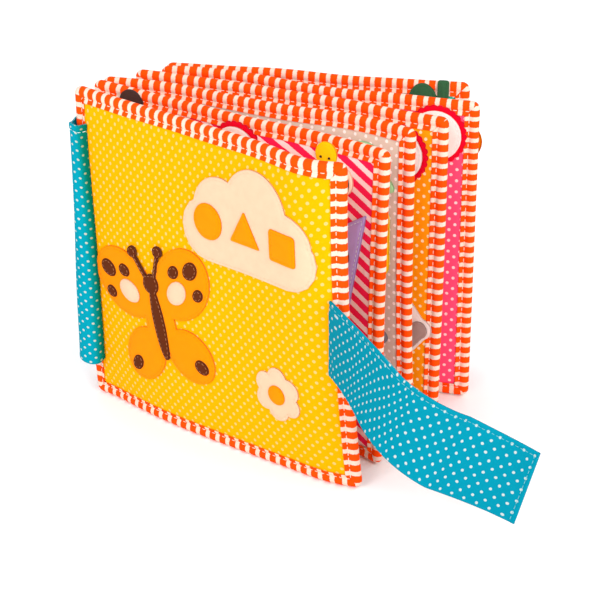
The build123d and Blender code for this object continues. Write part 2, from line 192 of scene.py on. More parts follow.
class Leaf:
    """A cover or page, bent along its path.

    foot is the path at the table if it has another bend there, and tuck draws its spine
    end in. lean and bow are how far the free edge reaches out at the table and halfway up,
    and peak is the rise of the top corner at the spine end."""

    def __init__(self, name, body, path, height, seed, foot=None, tuck=0.0, lean=0.0, bow=0.0,
                 peak=0.0):
        self.name, self.body, self.path, self.height = name, body, path, height
        self.width = path.length
        self.foot, self.tuck, self.lean, self.bow, self.peak = foot, tuck, lean, bow, peak
        self.outside = -1 if name == "back_cover" else 1
        self.phase = np.random.default_rng(seed).uniform(0, 2 * np.pi, 12)

    def pad_half(self, s, z):
        """Half thickness of the padded panel."""
        d, half = np.array(PAD).T
        ds = np.minimum(s, self.width - s)
        dz = np.minimum(z, self.height - z)
        top = half[-1]
        t = top * (np.interp(ds, d, half) / top) * (np.interp(dz, d, half) / top)
        near = np.exp(-np.maximum(np.minimum(ds, dz) - TAPE_WIDTH, 0) / PUCKER_REACH)
        along = np.where(ds < dz, z, s)
        p = self.phase
        pucker = np.sin(along / 1.45 + p[0]) + 0.7 * np.sin(along / 2.3 + p[1])
        slow = np.sin(s / 21 + z / 33 + p[2]) + np.sin(s / 37 - z / 19 + p[3])
        return t + 0.13 * near * pucker + 0.09 * slow * (1 - near)

    def point(self, s, z, off):
        """World point at a distance from the spine end, a height and a sideways offset."""
        s, z, off = np.broadcast_arrays(*(np.asarray(v, float) for v in (s, z, off)))
        low = np.clip(1 - z / self.height, 0, 1)
        if self.foot:
            s = s + self.tuck * np.clip(1 - z / 90, 0, 1) * np.clip(1 - s / 60, 0, 1)
        x, y, h = self.path.at(s)
        if self.foot:
            fx, fy, fh = self.foot.at(s * self.foot.length / self.path.length)
            w = low ** (1 + 1.1 * np.clip(s / self.width, 0, 1))
            x, y, h = x + (fx - x) * w, y + (fy - y) * w, h + (fh - h) * w
        far = np.clip(s / self.width, 0, 1) ** 2
        high = z / self.height
        stretch = self.lean * low * far + self.bow * 4 * low * high * far
        p = self.phase
        wave = 0.3 * np.sin(s / 27 + z / 60 + p[4]) + 0.25 * np.sin(s / 41 - z / 38 + p[5])
        wave = wave * np.clip(s / 25, 0, 1)
        off = off + wave
        rise = (0.3 * np.sin(s / 19 + p[6]) + 0.2 * np.sin(s / 11 + p[7])) * high ** 2
        rise = rise + self.peak * np.exp(-np.maximum(s, 0) / 22) * high ** 4
        return to_world(x + stretch * np.cos(h) - off * np.sin(h),
                        y + stretch * np.sin(h) + off * np.cos(h), z + rise)


leaves = {
    "front_cover": Leaf("front_cover", "front_cover", hinged((0, 0), front_heading, front_bends),
                        cover_height, 11, foot=Path(foot_start, foot_heading, foot_bends), tuck=4.5,
                        peak=2.0),
    "back_cover": Leaf("back_cover", "back_cover", hinged(back_hinge, back_heading, back_bends),
                       back_cover_height, 12),
}
for number, plan in enumerate(inner_plans, 1):
    leaves[f"inner_leaf_{number}"] = Leaf(f"inner_leaf_{number}", "book_block", seated(*plan),
                                          leaf_height, 20 + number,
                                          lean={2: 6.0, 4: 1.0}.get(number, 0.0),
                                          bow={1: -2.5, 2: -2.5}.get(number, 0.0),
                                          peak={1: 2.0, 2: 2.0, 3: 1.0}.get(number, 0.0))


# Mesh helpers
def new_mesh(name, points, faces, uv=None, loop_uv=None, material=None):
    mesh = bpy.data.meshes.new(name)
    mesh.from_pydata(np.asarray(points).tolist(), [], [list(map(int, f)) for f in faces])
    if uv is not None or loop_uv is not None:
        layer = mesh.uv_layers.new(name="cloth")
        if loop_uv is None:
            index = np.zeros(len(mesh.loops), np.int32)
            mesh.loops.foreach_get("vertex_index", index)
            loop_uv = np.asarray(uv)[index]
        layer.uv.foreach_set("vector", np.asarray(loop_uv, np.float32).ravel())
    mesh.polygons.foreach_set("use_smooth", np.ones(len(mesh.polygons), bool))
    if material:
        mesh.materials.append(material)
    mesh.validate()
    piece = bpy.data.objects.new(name, mesh)
    bpy.context.scene.collection.objects.link(piece)
    return piece


def grid_faces(rows, columns, first=0, flip=False):
    faces = []
    for i in range(rows - 1):
        for j in range(columns - 1):
            a = first + i * columns + j
            quad = (a, a + columns, a + columns + 1, a + 1)
            faces.append(quad[::-1] if flip else quad)
    return faces


def thin_faces(rows, columns):
    """Faces of a thin piece: a front grid, a back grid and the rim that joins them."""
    count = rows * columns
    rim = [i * columns for i in range(rows)] + [(rows - 1) * columns + j for j in range(1, columns)]
    rim += [i * columns + columns - 1 for i in range(rows - 2, -1, -1)]
    rim += list(range(columns - 2, 0, -1))
    faces = grid_faces(rows, columns) + grid_faces(rows, columns, count, True)
    return faces + [(b, a, a + count, b + count) for a, b in zip(rim, rim[1:] + rim[:1])]


def mount(piece, body, node=None, slot=None):
    """Ties a piece to its CAD body and hides the CAD part of the node that it stands for; slot is
    not used.
    """
    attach(piece, body)
    if node:
        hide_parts(node)
    return piece


def thin_piece(name, sides, uvs, material, body, node, slot):
    """A thin piece from the points of its front and back and their places on the cloth."""
    points = np.concatenate([side.reshape(-1, 3) for side in sides])
    uv = np.concatenate([side.reshape(-1, 2) for side in uvs])
    piece = new_mesh(name, points, thin_faces(*sides[0].shape[:2]), uv=uv, material=material)
    return mount(piece, body, node, slot)


def unit(vectors):
    return vectors / np.linalg.norm(vectors, axis=1, keepdims=True)


def run_of(line):
    """Distance along a line at each of its points."""
    return np.concatenate([[0], np.cumsum(np.linalg.norm(np.diff(line, axis=0), axis=1))])


def along_line(at, run, line):
    """Points at given distances along a line."""
    return np.stack([np.interp(at, run, line[:, k]) for k in range(line.shape[1])], 1)


# Materials
class Nodes:
    """A small builder for shader nodes."""

    def __init__(self, name):
        self.material = bpy.data.materials.new(name)
        self.material.use_nodes = True
        self.tree = self.material.node_tree
        self.bsdf = self.tree.nodes["Principled BSDF"]

    def add(self, kind, **sockets):
        node = self.tree.nodes.new(kind)
        for key, value in sockets.items():
            if key.startswith("_"):
                setattr(node, key[1:], value)
                continue
            socket = node.inputs[int(key[1:])] if key[0] == "i" and key[1:].isdigit() \
                else node.inputs[key.replace("__", " ")]
            self.put(socket, value)
        return node

    def put(self, socket, value):
        if isinstance(value, bpy.types.NodeSocket):
            self.tree.links.new(value, socket)
        else:
            socket.default_value = value

    def math(self, operation, a, b=0.0, c=None):
        node = self.add("ShaderNodeMath", _operation=operation, i0=a, i1=b)
        if c is not None:
            self.put(node.inputs[2], c)
        return node.outputs[0]

    def vector(self, operation, a, b=None, scale=None):
        node = self.add("ShaderNodeVectorMath", _operation=operation, i0=a)
        if b is not None:
            self.put(node.inputs[1], b)
        if scale is not None:
            self.put(node.inputs["Scale"], scale)
        return node.outputs["Value" if operation in ("LENGTH", "DOT_PRODUCT") else "Vector"]

    def range(self, value, low, high, to_low=0.0, to_high=1.0, smooth=False):
        node = self.add("ShaderNodeMapRange", i0=value, i1=low, i2=high, i3=to_low, i4=to_high)
        if smooth:
            node.interpolation_type = "SMOOTHSTEP"
        return node.outputs[0]

    def mix(self, factor, a, b, kind="MIX"):
        node = self.add("ShaderNodeMix", _data_type="RGBA", _blend_type=kind)
        self.put(node.inputs[0], factor)
        self.put(node.inputs[6], a)
        self.put(node.inputs[7], b)
        return node.outputs[2]

    def tint(self, colour, shade, blue=None):
        """The colour times a shade, with another shade for its blue if given."""
        blue = shade if blue is None else blue
        grey = self.add("ShaderNodeCombineColor", i0=shade, i1=shade, i2=blue).outputs[0]
        return self.mix(1.0, colour, grey, "MULTIPLY")

    def noise(self, vector, scale, detail=2.0, rough=0.5):
        node = self.add("ShaderNodeTexNoise", Scale=scale, Detail=detail, Roughness=rough,
                        Vector=vector)
        return node.outputs["Fac"]


def cloth_uv(n):
    return n.add("ShaderNodeUVMap", _uv_map="cloth").outputs[0]


def weave(n, uv):
    """Height of a plain weave, from 0 to 1."""
    split = n.add("ShaderNodeSeparateXYZ", i0=n.vector("SCALE", uv, scale=1 / WEAVE_PITCH))
    u, v = split.outputs[0], split.outputs[1]
    parity = n.math("PINGPONG", n.math("ADD", n.math("FLOOR", u), n.math("FLOOR", v)), 1.0)
    warp = n.math("SINE", n.math("MULTIPLY", n.math("FRACT", u), math.pi))
    weft = n.math("SINE", n.math("MULTIPLY", n.math("FRACT", v), math.pi))
    over = n.math("MULTIPLY", warp, n.math("SUBTRACT", 1.0, parity))
    under = n.math("MULTIPLY", weft, parity)
    return n.math("ADD", over, under)


def finish_cloth(n, colour, height, strength, distance, rough, sheen, sheen_rough=0.5):
    bump = n.add("ShaderNodeBump", Strength=strength, Distance=distance, Height=height)
    n.put(n.bsdf.inputs["Base Color"], colour)
    n.put(n.bsdf.inputs["Normal"], bump.outputs[0])
    n.bsdf.inputs["Roughness"].default_value = rough
    n.bsdf.inputs["Sheen Weight"].default_value = sheen
    n.bsdf.inputs["Sheen Roughness"].default_value = sheen_rough
    n.bsdf.inputs["Specular IOR Level"].default_value = 0.04
    return n.material


def cotton(name, ground, mark, pattern, pitch=DOT_PITCH, size=1.0, angle=0.0, share=0.5,
           painted_shade=None):
    """Woven cotton printed with staggered dots or with stripes, in cloth millimetres.

    The last argument paints shade along one edge of the cloth, with its blue darkened more: where
    the painted shade starts and ends across the cloth, and how much light is left at its start."""
    n = Nodes(name)
    uv = cloth_uv(n)
    wobble = n.noise(uv, 0.9, 2.0)
    turned = n.add("ShaderNodeVectorRotate", _rotation_type="Z_AXIS", Vector=uv, Angle=angle)
    if pattern == "dots":
        p = n.vector("SCALE", turned.outputs[0], scale=1 / pitch)
        flat = n.vector("MULTIPLY", p, (1, 1, 0))
        near = []
        for shift in (0.0, 0.5):
            cell = n.vector("FRACTION", n.vector("ADD", flat, (shift, shift, 0)))
            cell = n.vector("MULTIPLY", n.vector("SUBTRACT", cell, (0.5, 0.5, 0)), (1, 1, 0))
            near.append(n.vector("LENGTH", cell))
        gap = n.math("MULTIPLY", n.math("MINIMUM", *near), pitch)
        gap = n.math("ADD", gap, n.range(wobble, 0.3, 0.7, -0.1, 0.1))
        mask = n.range(gap, size - 0.1, size + 0.1, 1.0, 0.0, True)
    else:
        u = n.add("ShaderNodeSeparateXYZ", i0=turned.outputs[0]).outputs[0]
        u = n.math("ADD", u, n.range(wobble, 0.3, 0.7, -0.16, 0.16))
        cell = n.math("MULTIPLY", n.math("FRACT", n.math("DIVIDE", u, pitch)), pitch)
        away = n.math("ABSOLUTE", n.math("SUBTRACT", cell, pitch * (1 + share) / 2))
        half = pitch * (1 - share) / 2
        mask = n.range(away, half - 0.14, half + 0.14, 1.0, 0.0, True)
    height = weave(n, uv)
    slub = n.noise(n.vector("MULTIPLY", uv, (0.25, 3.0, 1)), 1.0, 2.0)
    shade = n.math("ADD", n.range(height, 0, 1, 0.93, 1.02), n.range(slub, 0.3, 0.7, -0.035, 0.035))
    colour = n.tint(n.mix(mask, ground, mark), shade)
    # Painted shade along one edge of the cloth, its blue darkened more to paint yellow light thrown
    # back from a cover
    if painted_shade:
        start, end, dark = painted_shade
        across = n.add("ShaderNodeSeparateXYZ", i0=uv).outputs[0]
        shade = n.range(across, start, end, dark, 1.0, True)
        colour = n.tint(colour, shade, n.math("MULTIPLY", shade, shade))
    relief = n.math("ADD", height, n.math("MULTIPLY", n.noise(uv, 0.35, 2.0), 1.2))
    return finish_cloth(n, colour, relief, 0.35, 0.00014, 0.9, 0.0)


def felt(name, ground, depth):
    """Pressed felt with short loose fibres."""
    n = Nodes(name)
    uv = cloth_uv(n)
    fibre = n.noise(n.vector("MULTIPLY", uv, (5.0, 1.3, 1)), 1.4, 4.0, 0.7)
    cross = n.noise(n.vector("MULTIPLY", uv, (1.2, 5.5, 1)), 1.4, 4.0, 0.7)
    mottle = n.noise(uv, 0.16, 3.0)
    fuzz = n.math("MULTIPLY", n.math("ADD", fibre, cross), 0.5)
    shade = n.math("ADD", n.range(fuzz, 0.3, 0.7, 1 - depth, 1 + depth * 0.6),
                   n.range(mottle, 0.3, 0.7, -0.03, 0.03))
    return finish_cloth(n, n.tint(ground, shade), fuzz, 0.5, 0.0003, 0.95, 0.06, 0.4)


def thread_material(name, ground):
    n = Nodes(name)
    uv = cloth_uv(n)
    split = n.add("ShaderNodeSeparateXYZ", i0=uv)
    twist = n.math("SINE", n.math("ADD", n.math("MULTIPLY", split.outputs[0], 9.0),
                                  n.math("MULTIPLY", split.outputs[1], 3.0)))
    shade = n.range(twist, -1, 1, 0.82, 1.0)
    return finish_cloth(n, n.tint(ground, shade), twist, 0.4, 0.0001, 0.6, 0.1)


yellow = cotton("yellow_dots", linear(250, 164, 0), linear(232, 184, 110), "dots", size=0.98)
teal = cotton("teal_dots", linear(0, 128, 150), linear(178, 188, 186), "dots", size=0.8)
# The teal cloth of the spine band again, its ground painted lighter for the light from the left,
# with painted shade along its edge against the cover
painted_light_roll_teal = cotton("teal_roll_dots_painted_light", linear(0, 142, 163), linear(182, 190, 184), "dots", size=0.85,
                   painted_shade=(-0.5, 9.5, 0.42))
taupe = cotton("taupe_dots", linear(208, 189, 170), linear(244, 230, 222), "dots", size=0.98)
orange = cotton("orange_dots", linear(255, 148, 12), linear(255, 222, 180), "dots", size=0.95)
pink = cotton("pink_dots", linear(255, 74, 114), linear(255, 206, 208), "dots", size=0.95)
jade = cotton("jade_dots", linear(22, 170, 145), linear(235, 235, 225), "dots", size=0.98)
candy = cotton("pink_stripes", linear(240, 30, 80), linear(246, 214, 214), "stripes", pitch=7.67,
               angle=math.radians(-63.3), share=0.56)
tape = cotton("striped_tape", linear(250, 74, 6), linear(233, 200, 183), "stripes",
              pitch=TAPE_PITCH, share=TAPE_SHARE)
FELT_COLOURS = {
    "cream": (228, 184, 154), "red": (214, 4, 36), "green": (160, 208, 150),
    "orange": (246, 134, 0), "brown": (88, 38, 14), "dark": (70, 48, 44),
    "yellow": (250, 196, 10), "peach": (255, 205, 180), "purple": (176, 154, 218),
    "grey": (120, 118, 124), "taupe": (165, 135, 128), "pale": (236, 216, 210),
    "pine": (50, 92, 60),
}
FELT_DEPTH = {"brown": 0.12, "dark": 0.14}
FELT_SLOT = {"dark": "brown_felt", "pale": "cream_felt", "pine": "dark_green_felt"}
FELT = {colour: felt(f"felt_{colour}", linear(*screen), FELT_DEPTH.get(colour, 0.06))
        for colour, screen in FELT_COLOURS.items()}
cream_thread = thread_material("cream_thread", linear(255, 226, 205))
pale_thread = thread_material("pale_thread", linear(225, 240, 240))
teal_thread = thread_material("teal_thread", linear(120, 190, 200))
tan_thread = thread_material("tan_thread", linear(168, 112, 78))
dark_thread = thread_material("dark_thread", linear(60, 30, 16))
FACE = {
    "front_cover": (yellow, "yellow_dotted_cloth"), "inner_leaf_1": (candy, "pink_striped_cloth"),
    "inner_leaf_2": (taupe, "taupe_dotted_cloth"), "inner_leaf_3": (orange, "orange_dotted_cloth"),
    "inner_leaf_4": (pink, "pink_dotted_cloth"), "back_cover": (jade, "teal_green_dotted_cloth"),
}


# Padded panels
def cover_rows(s, z):
    """Cloth place of a point on the cover, with the rows of dots bent as the cloth is pulled."""
    s, z = s / 100, z / 100
    rows = []
    for start, out, out_square, up, up_square in (COVER_ACROSS, COVER_UP):
        rows.append(start + out * s + out_square * s ** 2 + up * z + up_square * z ** 2)
    return DOT_PITCH * np.stack(rows, -1)


def panel(leaf):
    near = [3.0, 4.2, 5.4, 6.3, 7.2, 8.2, 9.2, 10.4, 12.0, 14.0, 16.5]

    def stations(length):
        inner = np.linspace(19.5, length - 19.5, int((length - 39) / 2.2))
        return np.concatenate([near, inner, length - np.array(near)[::-1]])

    s, z = stations(leaf.width), stations(leaf.height)
    gs, gz = np.meshgrid(s, z, indexing="ij")
    half = leaf.pad_half(gs, gz)
    front_uv = cover_rows(gs, gz) if leaf.name == "front_cover" else np.stack([gs, gz], -1)
    back_uv = np.stack([leaf.width - gs + BACK_FACE_SHIFT, gz], -1)
    node = f"{leaf.name}_panel"
    material, slot = FACE[leaf.name]
    piece = thin_piece(f"{node}_cloth", [leaf.point(gs, gz, -half), leaf.point(gs, gz, half)],
                       [front_uv, back_uv], material, leaf.body, node, slot)


# Bindings
TAPE_STEP = 1.9


def outline_samples(width, height):
    """Samples round a rounded rectangle, anticlockwise: (side, along, corner angle or None)."""
    r = corner_radius
    samples = []
    for side, length in enumerate((width, height, width, height)):
        samples += [(side, None, angle) for angle in (60.0, 75.0)]
        samples += [(side, float(t), None)
                    for t in np.linspace(r, length - r, int((length - 2 * r) / TAPE_STEP))]
        samples += [(side, length, angle) for angle in (15.0, 30.0, 45.0)]
    return samples


def side_point(side, t, d, width, height):
    """Point on the leaf from a place along one side and a distance in from it."""
    return ((t, d), (width - d, t), (width - t, height - d), (d, height - t))[side]


def outline_point(sample, d, width, height):
    side, t, angle = sample
    r = corner_radius
    length = (width, height)[side % 2]
    if angle is None:
        t = min(max(t, d), length - d)
        return side_point(side, t, d, width, height)
    if d >= r:
        return side_point(side, length - d if t else d, d, width, height)
    a = math.radians(angle)
    if t:
        local = (length - r + (r - d) * math.sin(a), r - (r - d) * math.cos(a))
    else:
        local = (r - (r - d) * math.cos(a), r - (r - d) * math.sin(a))
    return side_point(side, *local, width, height)


def stripe_place(leaf, side, along):
    """Cloth millimetres along the tape at a place on one side of a leaf."""
    start, end, first = TAPE[leaf.name].get(side, PLAIN_TAPE)
    length = (leaf.width, leaf.height)[side % 2]
    slope = (end - start) / length
    count = along / start if abs(slope) < 1e-6 else math.log1p(slope * along / start) / slope
    return TAPE_PITCH * (count - first + (1 + TAPE_SHARE) / 2)


def binding(leaf):
    width, height = leaf.width, leaf.height
    samples = outline_samples(width, height)
    section = [(d, -w) for d, w in reversed(ROLL)] + [(d, w) for d, w in ROLL[1:]]
    section += TAPE_INSIDE
    count = len(section)
    arc = run_of(np.array(section))
    phase = np.random.default_rng(int(height * 7 + width)).uniform(0, 6.28, 4)
    s, z, off = np.zeros((3, len(samples), count))
    for i, sample in enumerate(samples):
        side, t, angle = sample
        place = i * TAPE_STEP
        pucker = math.sin(place / 0.62 + phase[0]) + 0.6 * math.sin(place / 1.13 + phase[1])
        slow = math.sin(place / 7.0 + phase[2])
        bulk = 0.1 if angle is not None else 0.0
        for j, (d, w) in enumerate(section):
            s[i, j], z[i, j] = outline_point(sample, d, width, height)
            lip = max(0.0, min(1.0, (d - 6.0) / 1.5))
            grow = 0.13 * pucker * (0.35 + lip) + 0.1 * slow + bulk
            off[i, j] = w + math.copysign(grow, w) * (abs(w) > FOLD_HALF)
    points = leaf.point(s, z, off).reshape(-1, 3)
    faces, loop_uv = [], []
    total = len(samples)
    for i in range(total):
        k = (i + 1) % total
        side = samples[i][0] if samples[i][2] != 45.0 else samples[k][0]
        flat = side % 2 == 0
        for j in range(count):
            m = (j + 1) % count
            quad = [(i, j), (k, j), (k, m), (i, m)]
            faces.append([a * count + b for a, b in quad])
            for a, b in quad:
                v = arc[b] if b else (0.0 if m else arc[-1] + 3.0)
                loop_uv.append((stripe_place(leaf, side, (s if flat else z)[a, b]) + 400.0,
                                v + 40 * side))
    node = f"{leaf.name}_binding"
    piece = new_mesh(f"{node}_tape", points, faces, loop_uv=loop_uv, material=tape)
    mount(piece, leaf.body, node, "striped_binding")


# Stitches
# Rings along a dash: share of its length, size and rise, both in radii of the thread
DASH = [(0.0, 0.35, -1.2), (0.14, 0.9, 0.1), (0.5, 1.0, 0.55), (0.86, 0.9, 0.1), (1.0, 0.35, -1.2)]
DASH_SIDES = 6


def dashes(runs, radius, name, material, body, slot):
    """Short thread dashes; each run holds their starts, ends and outward unit vectors."""
    starts, ends, lift = (np.concatenate(part) for part in zip(*runs))
    radius *= MM
    along = ends - starts
    length = np.linalg.norm(along, axis=1, keepdims=True)
    along = along / length
    side = unit(np.cross(along, lift))
    up = np.cross(side, along)
    shares = np.array(DASH)[:, 0]
    rings = []
    for share, size, rise in DASH:
        centre = starts + (ends - starts) * share + up * radius * rise
        for a in np.arange(DASH_SIDES) * 2 * np.pi / DASH_SIDES:
            rings.append(centre + radius * size * (math.cos(a) * side + math.sin(a) * up))
    count = len(rings)
    faces = []
    for base in range(0, len(starts) * count, count):
        for ring in range(base, base + count - DASH_SIDES, DASH_SIDES):
            for a in range(DASH_SIDES):
                b = (a + 1) % DASH_SIDES
                faces.append((ring + a, ring + b, ring + DASH_SIDES + b, ring + DASH_SIDES + a))
        faces.append(tuple(base + a for a in range(DASH_SIDES - 1, -1, -1)))
        faces.append(tuple(base + count - DASH_SIDES + a for a in range(DASH_SIDES)))
    u = np.repeat(shares, DASH_SIDES) * length / MM
    v = np.tile(np.arange(DASH_SIDES) / DASH_SIDES * 2, (len(starts), len(DASH)))
    piece = new_mesh(name, np.stack(rings, 1).reshape(-1, 3), faces,
                     uv=np.stack([u, v], -1).reshape(-1, 2), material=material)
    mount(piece, body, slot=slot)


def run_stitches(line, place, length, pitch, closed=False):
    """Dash ends along a 2D line; place(points, lift) gives world points."""
    line = np.asarray(line, float)
    if closed:
        line = np.concatenate([line, line[:1]])
    run = run_of(line)
    count = max(int(run[-1] / pitch), 1)
    first = np.arange(count) * run[-1] / count
    starts, ends = along_line(first, run, line), along_line(first + length, run, line)
    a, b = place(starts, 0.0), place(ends, 0.0)
    return a, b, unit(place(starts, 1.0) - a)


def binding_stitches(leaf):
    runs = []
    width, height, d = leaf.width, leaf.height, STITCH_AT
    line = []
    for a, b in (((d, d), (width - d, d)), ((width - d, d), (width - d, height - d)),
                 ((width - d, height - d), (d, height - d)), ((d, height - d), (d, d))):
        line += [np.array(a) + (np.array(b) - np.array(a)) * k for k in np.linspace(0, 1, 90)[:-1]]
    for face in (-1, 1):
        def place(points, lift, face=face):
            return leaf.point(points[:, 0], points[:, 1], face * (STITCH_HALF + lift))
        runs.append(run_stitches(line, place, 2.5, 3.7, True))
    dashes(runs, COARSE_THREAD, f"{leaf.name}_binding_stitches", cream_thread, leaf.body,
           "cream_fastener")


# Felt shapes, as lists of overlapping outlines
def oval(x, y, rx, ry, tilt=0.0):
    a = np.arange(max(16, int(2 * math.pi * max(rx, ry) / 0.9)))
    a = a * 2 * np.pi / len(a)
    t = math.radians(tilt)
    px, py = rx * np.cos(a), ry * np.sin(a)
    return np.stack([x + px * math.cos(t) - py * math.sin(t),
                     y + px * math.sin(t) + py * math.cos(t)], 1)


def disc(x, y, r):
    return oval(x, y, r, r)


def turned_by(points, tilt):
    """Points turned about the origin, anticlockwise for a positive tilt in degrees."""
    t = math.radians(tilt)
    return points @ np.array([[math.cos(t), math.sin(t)], [-math.sin(t), math.cos(t)]])


def box(x, y, width, height, r=0.6, tilt=0.0):
    points = []
    for cx, cy, start in ((1, 1, 0), (-1, 1, 90), (-1, -1, 180), (1, -1, 270)):
        for a in np.radians(np.linspace(start, start + 90, 5)):
            points.append((cx * (width / 2 - r) + r * math.cos(a),
                           cy * (height / 2 - r) + r * math.sin(a)))
    return turned_by(np.array(points), tilt) + (x, y)


def polygon(corners, r=0.8):
    """A polygon with slightly rounded corners."""
    corners = [np.array(c, float) for c in corners]
    points = []
    for i, c in enumerate(corners):
        a, b = corners[i - 1], corners[(i + 1) % len(corners)]
        ua, ub = (a - c) / np.linalg.norm(a - c), (b - c) / np.linalg.norm(b - c)
        for k in np.linspace(0, 1, 5):
            points.append(c + r * ((1 - k) ** 2 * ua + k ** 2 * ub) * 1.6)
    return np.array(points)


def ringed(x, y, core, reach, radius, count, first=0.0):
    """A core disc with smaller discs round it."""
    shapes = [disc(x, y, core)]
    for k in range(count):
        a = first + k * 2 * math.pi / count
        shapes.append(disc(x + reach * math.cos(a), y + reach * math.sin(a), radius))
    return shapes


def scalloped(x, y, radius, count, bump):
    return ringed(x, y, radius - bump / 2, radius - bump, bump, count)


def placed(leaf, inward, drop):
    """Distance from the spine end and height of a place given from the far top corner."""
    return leaf.width - inward, leaf.height - drop


def heart(x, y, size):
    lobe = size * 0.28
    side = lobe * 1.72
    point = polygon([(x - side, y + 0.25 * lobe), (x, y - size * 0.52),
                     (x + side, y + 0.25 * lobe), (x, y + lobe * 0.9)], 0.3)
    return [disc(x + way * lobe * 0.92, y + lobe * 0.7, lobe) for way in (-1, 1)] + [point]


def cloud(x, y, width, height):
    foot = height * 0.30
    return [box(x, y - height / 2 + foot, width, 2 * foot, foot * 0.98),
            disc(x - width * 0.20, y, height * 0.33),
            disc(x + width * 0.08, y + height * 0.12, height * 0.38),
            disc(x + width * 0.30, y - height * 0.06, height * 0.27)]


def flower(x, y, radius, petals):
    petal = radius * 0.42
    return ringed(x, y, radius * 0.5, radius - petal, petal, petals, math.pi / 2)


def union_outline(shapes):
    """One closed outline round overlapping shapes."""
    verts, faces = [], []
    for shape in shapes:
        faces.append(list(range(len(verts), len(verts) + len(shape))))
        verts += [Vector(p) for p in shape]
    points, _, tris, _, _, _ = delaunay_2d_cdt(verts, [], faces, 1, 1e-5)
    edges = [edge for tri in tris for edge in zip(tri, list(tri[1:]) + [tri[0]])]
    known = set(edges)
    follow = {a: b for a, b in edges if (b, a) not in known}
    loops = []
    while follow:
        start = next(iter(follow))
        loop, at = [], start
        while at in follow:
            loop.append(at)
            at = follow.pop(at)
        loops.append(loop)
    longest = max(loops, key=len)
    return np.array([points[i][:] for i in longest])


def resample(outline, step):
    line = np.concatenate([outline, outline[:1]])
    run = run_of(line)
    at = np.linspace(0, run[-1], max(int(run[-1] / step), 12), endpoint=False)
    return along_line(at, run, line)


def resample_open(line, count):
    run = run_of(line)
    return along_line(np.linspace(0, run[-1], count), run, line)


def edge_distance(points, outline):
    a, b = outline, np.roll(outline, -1, 0)
    ab = b - a
    size = (ab ** 2).sum(1) + 1e-12
    best = np.full(len(points), 1e9)
    for k in range(0, len(points), 4000):
        p = points[k:k + 4000, None, :]
        t = np.clip(((p - a) * ab).sum(2) / size, 0, 1)
        gap = np.linalg.norm(p - (a + t[..., None] * ab), axis=2)
        best[k:k + 4000] = gap.min(1)
    return best


def inset(outline, distance):
    """The outline moved inwards, without the points where it would cross itself."""
    ahead, behind = np.roll(outline, -1, 0), np.roll(outline, 1, 0)
    tangent = ahead - behind
    tangent /= np.linalg.norm(tangent, axis=1, keepdims=True) + 1e-12
    area = (outline[:, 0] * ahead[:, 1] - ahead[:, 0] * outline[:, 1]).sum()
    normal = np.stack([-tangent[:, 1], tangent[:, 0]], 1) * (1 if area > 0 else -1)
    moved = outline + normal * distance
    keep = edge_distance(moved, outline) > distance * 0.93
    return moved[keep]


FELT_THICK = 1.35
FELT_LAP = 0.1
FELT_GRID = 0.95
FELT_EDGE = 0.75
FELT_SKIRT = 0.45
LONGEST_STITCH = 3.2
felt_rng = np.random.default_rng(5)


def points_inside(points, outline):
    inside = np.zeros(len(points), bool)
    for p, q in zip(outline, np.roll(outline, -1, 0)):
        crosses = (p[1] > points[:, 1]) != (q[1] > points[:, 1])
        if p[1] != q[1]:
            edge = p[0] + (points[:, 1] - p[1]) * (q[0] - p[0]) / (q[1] - p[1])
            inside ^= crosses & (points[:, 0] < edge)
    return inside


def felt_base(leaf, s, z, layer):
    """Distance of the underside of a felt piece from the middle of its leaf."""
    half = leaf.pad_half(np.clip(s, 9, leaf.width - 9), np.clip(z, 9, leaf.height - 9))
    return np.maximum(half, 3.3) + layer * (FELT_THICK - FELT_LAP)


